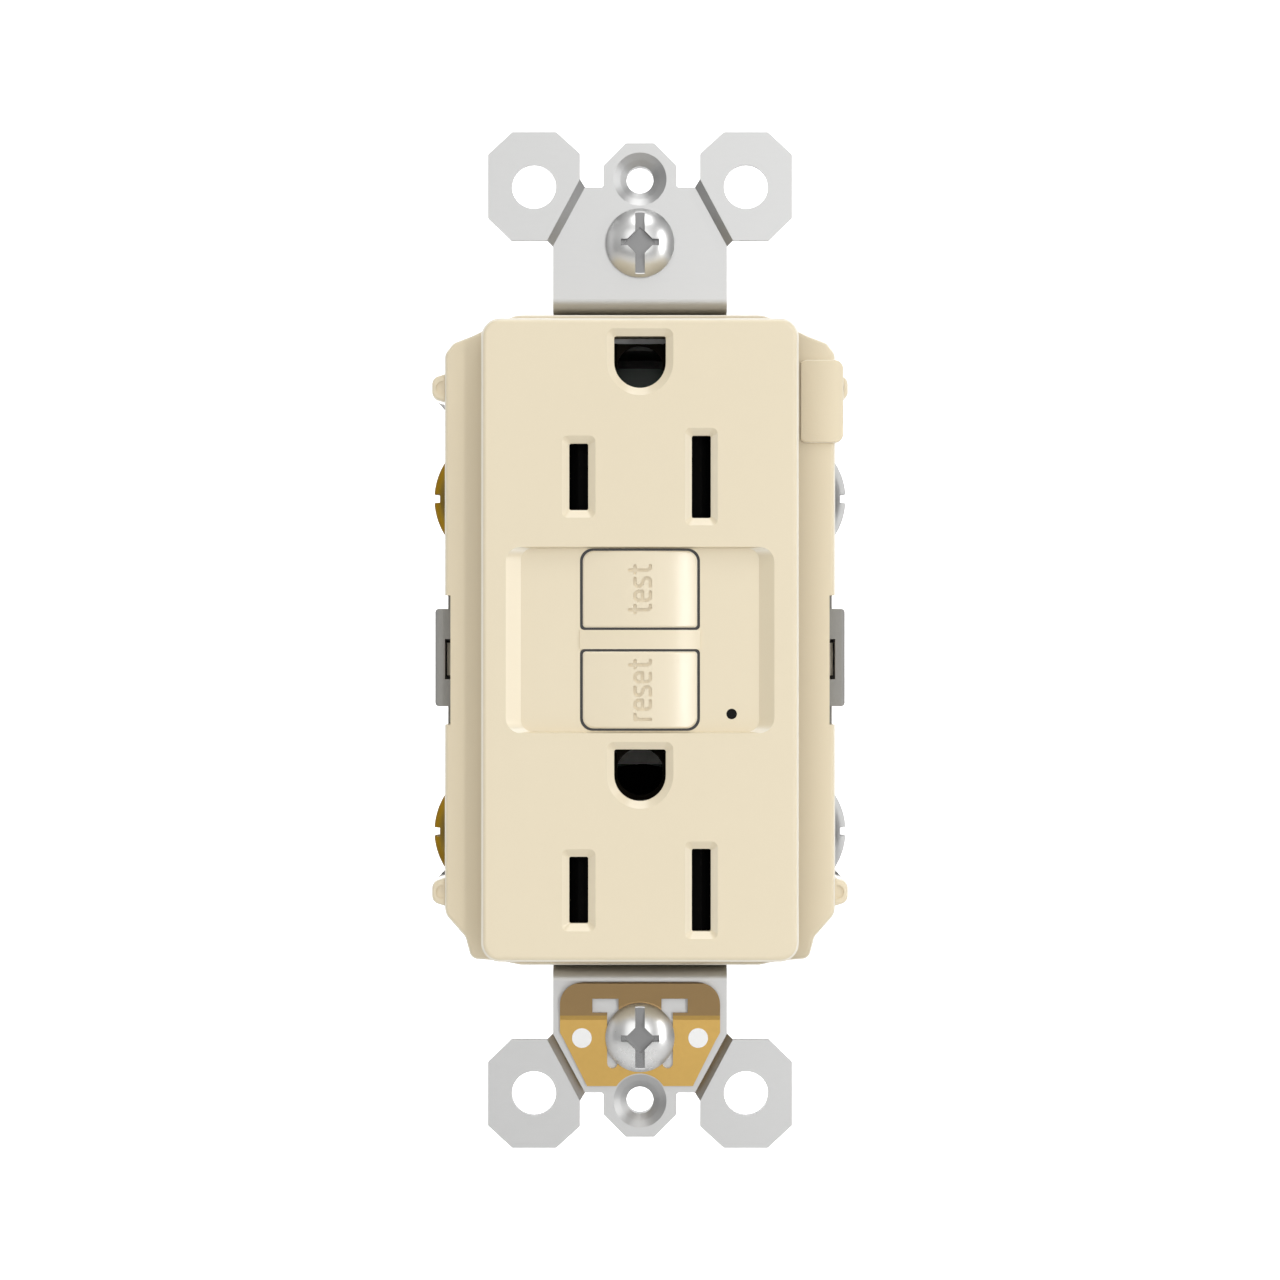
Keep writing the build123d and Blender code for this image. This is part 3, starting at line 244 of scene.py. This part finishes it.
CLIP = material("clip_brass", (0.55, 0.35, 0.105), metallic=1, rough=0.33, vary=0.06, grain=1700, bump=0.08)
# painted shade: the clip's upper strip, above z = -39.4 mm, is darker
g = Graph(CLIP)
g.tint(g.ramp(g.z, -0.03945, -0.03935), (0.37, 0.245, 0.115))
# near-black bronze for the ground contacts: painted shade for the dark inside the ground socket
BRONZE_PAINTED_SHADE = material("bronze_painted_shade", (0.014, 0.010, 0.005), metallic=0.8, rough=0.55, vary=0.2, grain=1800, bump=0.2)

SCREW_MAT = {}
for o in ("upper", "lower"):
    lo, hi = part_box("mounting_screw_" + o)
    c = (lo + hi) / 2
    # painted shade in the drive recess and on the rim of each box screw head
    SCREW_MAT["mounting_screw_" + o] = paint_recess_shade(
        material("nickel_screw_" + o, (0.86, 0.86, 0.85), metallic=1, rough=0.30, vary=0.03, grain=1800, bump=0.03), c, lo.y, 0.00479, 0.0035, (0.24, 0.24, 0.24))

slot_of = {s["node"]: s["material_slot"] for s in REC["subparts"]}
for name, obj in NODES.items():
    m = MAT[slot_of[name]]
    if name.startswith("ground_contact"):
        m = BRONZE_PAINTED_SHADE
    m = SCREW_MAT.get(name, m)
    m = {"front_cover": COVER, "test_button": BUTTON, "reset_button": BUTTON, "light_pipe": LENS, "terminal_screw_line_neutral": SCREW_NICKEL, "terminal_screw_load_neutral": SCREW_NICKEL, "terminal_screw_line_hot": SCREW_BRASS, "terminal_screw_load_hot": SCREW_BRASS, "grounding_clip": CLIP}.get(name, m)
    if len(obj.material_slots) == 0:
        obj.data.materials.append(m)
    for sl in obj.material_slots:
        sl.material = m


# ------------------------------------------------------------ added pieces
def mesh_object(name, verts, faces, mat, smooth=True):
    me = bpy.data.meshes.new(name)
    me.from_pydata(verts, [], faces)
    me.update()
    bm = bmesh.new()
    bm.from_mesh(me)
    bmesh.ops.recalc_face_normals(bm, faces=bm.faces)
    bm.to_mesh(me)
    bm.free()
    for f in me.polygons:
        f.use_smooth = smooth
    ob = bpy.data.objects.new(name, me)
    bpy.context.scene.collection.objects.link(ob)
    ob.data.materials.append(mat)
    return ob


def frame_of(axis):
    a = Vector(axis).normalized()
    u = a.orthogonal().normalized()
    return a, u, a.cross(u)


def sweep_helix(name, start, axis, length, radius, wire, turns, mat, closed_ends=0.0, sides=10, per_turn=28):
    """Round wire wound in a helix. closed_ends is the number of dead turns at each end."""
    a, u, v = frame_of(axis)
    start = Vector(start)
    total = turns
    n = int(total * per_turn)
    pts = []
    for i in range(n + 1):
        t = i / n * total
        if closed_ends:
            active = total - 2 * closed_ends
            w = 2 * wire
            if t < closed_ends:
                h = w * t / 1.0
            elif t > total - closed_ends:
                h = length - 2 * wire - w * (total - t)
            else:
                h0 = w * closed_ends
                h = h0 + (length - 2 * wire - 2 * h0) * (t - closed_ends) / active
            h += wire
        else:
            h = wire + (length - 2 * wire) * t / total
        ang = 2 * math.pi * t
        pts.append(start + a * h + (u * math.cos(ang) + v * math.sin(ang)) * radius)
    verts, faces = [], []
    for i, p in enumerate(pts):
        d = (pts[min(i + 1, n)] - pts[max(i - 1, 0)]).normalized()
        s = d.cross(a).normalized()
        b = d.cross(s).normalized()
        for k in range(sides):
            q = 2 * math.pi * k / sides
            verts.append(p + (s * math.cos(q) + b * math.sin(q)) * wire)
    for i in range(n):
        for k in range(sides):
            k2 = (k + 1) % sides
            faces.append((i * sides + k, i * sides + k2, (i + 1) * sides + k2, (i + 1) * sides + k))
    faces.append(tuple(range(sides)))
    faces.append(tuple(n * sides + k for k in range(sides)))
    return mesh_object(name, verts, faces, mat)


def thread(name, start, axis, length, r_root, r_crest, pitch, mat, per_turn=32):
    """A V ridge wound round a shank, fading out at both ends."""
    a, u, v = frame_of(axis)
    start = Vector(start)
    turns = length / pitch
    n = int(turns * per_turn)
    verts, faces = [], []
    for i in range(n + 1):
        t = i / n
        h = t * (length - pitch) + pitch * 0.5
        ang = 2 * math.pi * turns * t
        fade = min(1, i / per_turn, (n - i) / per_turn)
        rad = u * math.cos(ang) + v * math.sin(ang)
        crest = r_root + (r_crest - r_root) * fade
        for dh, r in ((-0.42, r_root - 0.00005), (-0.07, crest), (0.07, crest), (0.42, r_root - 0.00005)):
            verts.append(start + a * (h + dh * pitch) + rad * r)
    for i in range(n):
        for k in range(4):
            k2 = (k + 1) % 4
            faces.append((i * 4 + k, i * 4 + k2, (i + 1) * 4 + k2, (i + 1) * 4 + k))
    faces.append((0, 1, 2, 3))
    faces.append((n * 4 + 3, n * 4 + 2, n * 4 + 1, n * 4))
    return mesh_object(name, verts, faces, mat, smooth=False)


def spring_from(node, axis, turns, wire, body, dead=1.0):
    lo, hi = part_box(node)
    k = [abs(c) for c in axis].index(1)
    others = [i for i in range(3) if i != k]
    radius = (hi[others[0]] - lo[others[0]]) / 2 - wire
    c = (lo + hi) / 2
    start = c.copy()
    start[k] = lo[k]
    ob = sweep_helix(node + "_coil", start, axis, hi[k] - lo[k], radius, wire, turns, MAT["spring_steel"], closed_ends=dead)
    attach(ob, body)
    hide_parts(node)
    return ob


rs = spring_from("reset_spring", (0, 1, 0), 8.5, 0.00022, "device")
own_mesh(rs)
ls = spring_from("latch_spring", (0, 0, 1), 6.0, 0.00008, "carrier")
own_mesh(ls)
for o in ("upper", "lower"):
    s = spring_from(f"shutter_spring_{o}", (1, 0, 0), 7.0, 0.0001, "device")
    lo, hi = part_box(f"shutter_spring_{o}")
    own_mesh(s)

for o in ("upper", "lower"):
    lo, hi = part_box(f"mounting_screw_{o}")
    c = (lo + hi) / 2
    t = thread(f"box_screw_thread_{o}", (c.x, 0.0011, c.z), (0, 1, 0), hi.y - 0.0017, 0.00175, 0.00190, 0.00079375, MAT["nickel_steel"])
    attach(t, f"box_screw_{o}")
for n in ("line_hot", "line_neutral", "load_hot", "load_neutral"):
    lo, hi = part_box("terminal_screw_" + n)
    c = (lo + hi) / 2
    sx = -1 if c.x < 0 else 1
    mat = "brass" if "hot" in n else "nickel_steel"
    # thread on the shank inside the clamp plate, kept within the plate's hole
    t = thread("terminal_thread_" + n, (sx * 0.0131, 0.012, c.z), (sx, 0, 0), 0.0024, 0.00208, 0.002112, 0.00079375, MAT[mat])
    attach(t, "screw_" + n)

# magnet wire on the solenoid
lo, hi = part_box("solenoid_winding")
c = (lo + hi) / 2
w = sweep_helix("solenoid_wire", (0, c.y, lo.z), (0, 0, 1), hi.z - lo.z, (hi.x - lo.x) / 2 - 0.00019, 0.0002, 31, MAT["copper_winding"], sides=6, per_turn=24)
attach(w, "device")

# ------------------------------------------------------------ stage, light, camera
def stage_plane(name, verts, color, emit=0.0):
    m = bpy.data.materials.new(name)
    m.use_nodes = True
    p = m.node_tree.nodes["Principled BSDF"]
    p.inputs["Base Color"].default_value = (*color, 1)
    p.inputs["Roughness"].default_value = 0.9
    p.inputs["Emission Color"].default_value = (1, 1, 1, 1)
    p.inputs["Emission Strength"].default_value = emit
    ob = mesh_object(name, verts, [(0, 1, 2, 3)], m, smooth=False)
    return ob


stage_plane("floor", [(-0.6, -0.3, -0.16), (0.6, -0.3, -0.16), (0.6, 0.5, -0.16), (-0.6, 0.5, -0.16)], (0.8, 0.8, 0.8))
stage_plane("backdrop", [(-0.6, 0.5, -0.16), (0.6, 0.5, -0.16), (0.6, 0.5, 0.6), (-0.6, 0.5, 0.6)], (0.95, 0.95, 0.95), emit=0.9)

sc = bpy.context.scene
world = bpy.data.worlds.new("studio")
sc.world = world
world.use_nodes = True
bg = world.node_tree.nodes["Background"]
bg.inputs[1].default_value = 1.0
wn, wl = world.node_tree.nodes, world.node_tree.links
wtc = wn.new("ShaderNodeTexCoord")
wsep = wn.new("ShaderNodeSeparateXYZ")
wmap = wn.new("ShaderNodeMapRange")
wmap.inputs["From Min"].default_value = -0.6
wmap.inputs["From Max"].default_value = 0.4
wmap.inputs["To Min"].default_value = 0.16
wmap.inputs["To Max"].default_value = 0.46
wl.new(wtc.outputs["Generated"], wsep.inputs[0])
wl.new(wsep.outputs["Z"], wmap.inputs["Value"])
wl.new(wmap.outputs["Result"], bg.inputs[0])
sc.view_settings.view_transform = "Standard"
sc.view_settings.look = "None"


def area(name, loc, target, w, h, power, color=(1, 1, 1)):
    d = bpy.data.lights.new(name, "AREA")
    d.shape = "RECTANGLE"
    d.size, d.size_y, d.energy, d.color = w, h, power, color
    o = bpy.data.objects.new(name, d)
    sc.collection.objects.link(o)
    o.location = loc
    o.rotation_euler = (Vector(target) - Vector(loc)).to_track_quat("-Z", "Y").to_euler()
    return o


area("key_right", (0.69, -0.40, 0.03), (0, 0, 0), 0.12, 0.9, 1.9)
area("rim_left", (-0.75, -0.12, 0.05), (0, 0, 0), 0.14, 0.8, 0.2)
area("top_soft", (0.05, -0.3, 0.7), (0, 0, 0), 0.5, 0.3, 1.5)

area("front_soft", (-0.15, -0.95, 0.3), (-0.15, 0, 0.3), 1.2, 1.0, 3.1)
area("strip_right", (0.27, -0.95, 0.02), (0, 0, 0), 0.05, 0.7, 1.2)

cam = bpy.data.cameras.new("camera")
cam.lens, cam.sensor_width = 128.5, 36.0
cam.dof.use_dof = False
cam.clip_start = 0.01
co = bpy.data.objects.new("camera", cam)
sc.collection.objects.link(co)
co.location = (0, -0.4811, 0)
co.rotation_euler = (math.radians(90), 0, 0)
sc.camera = co
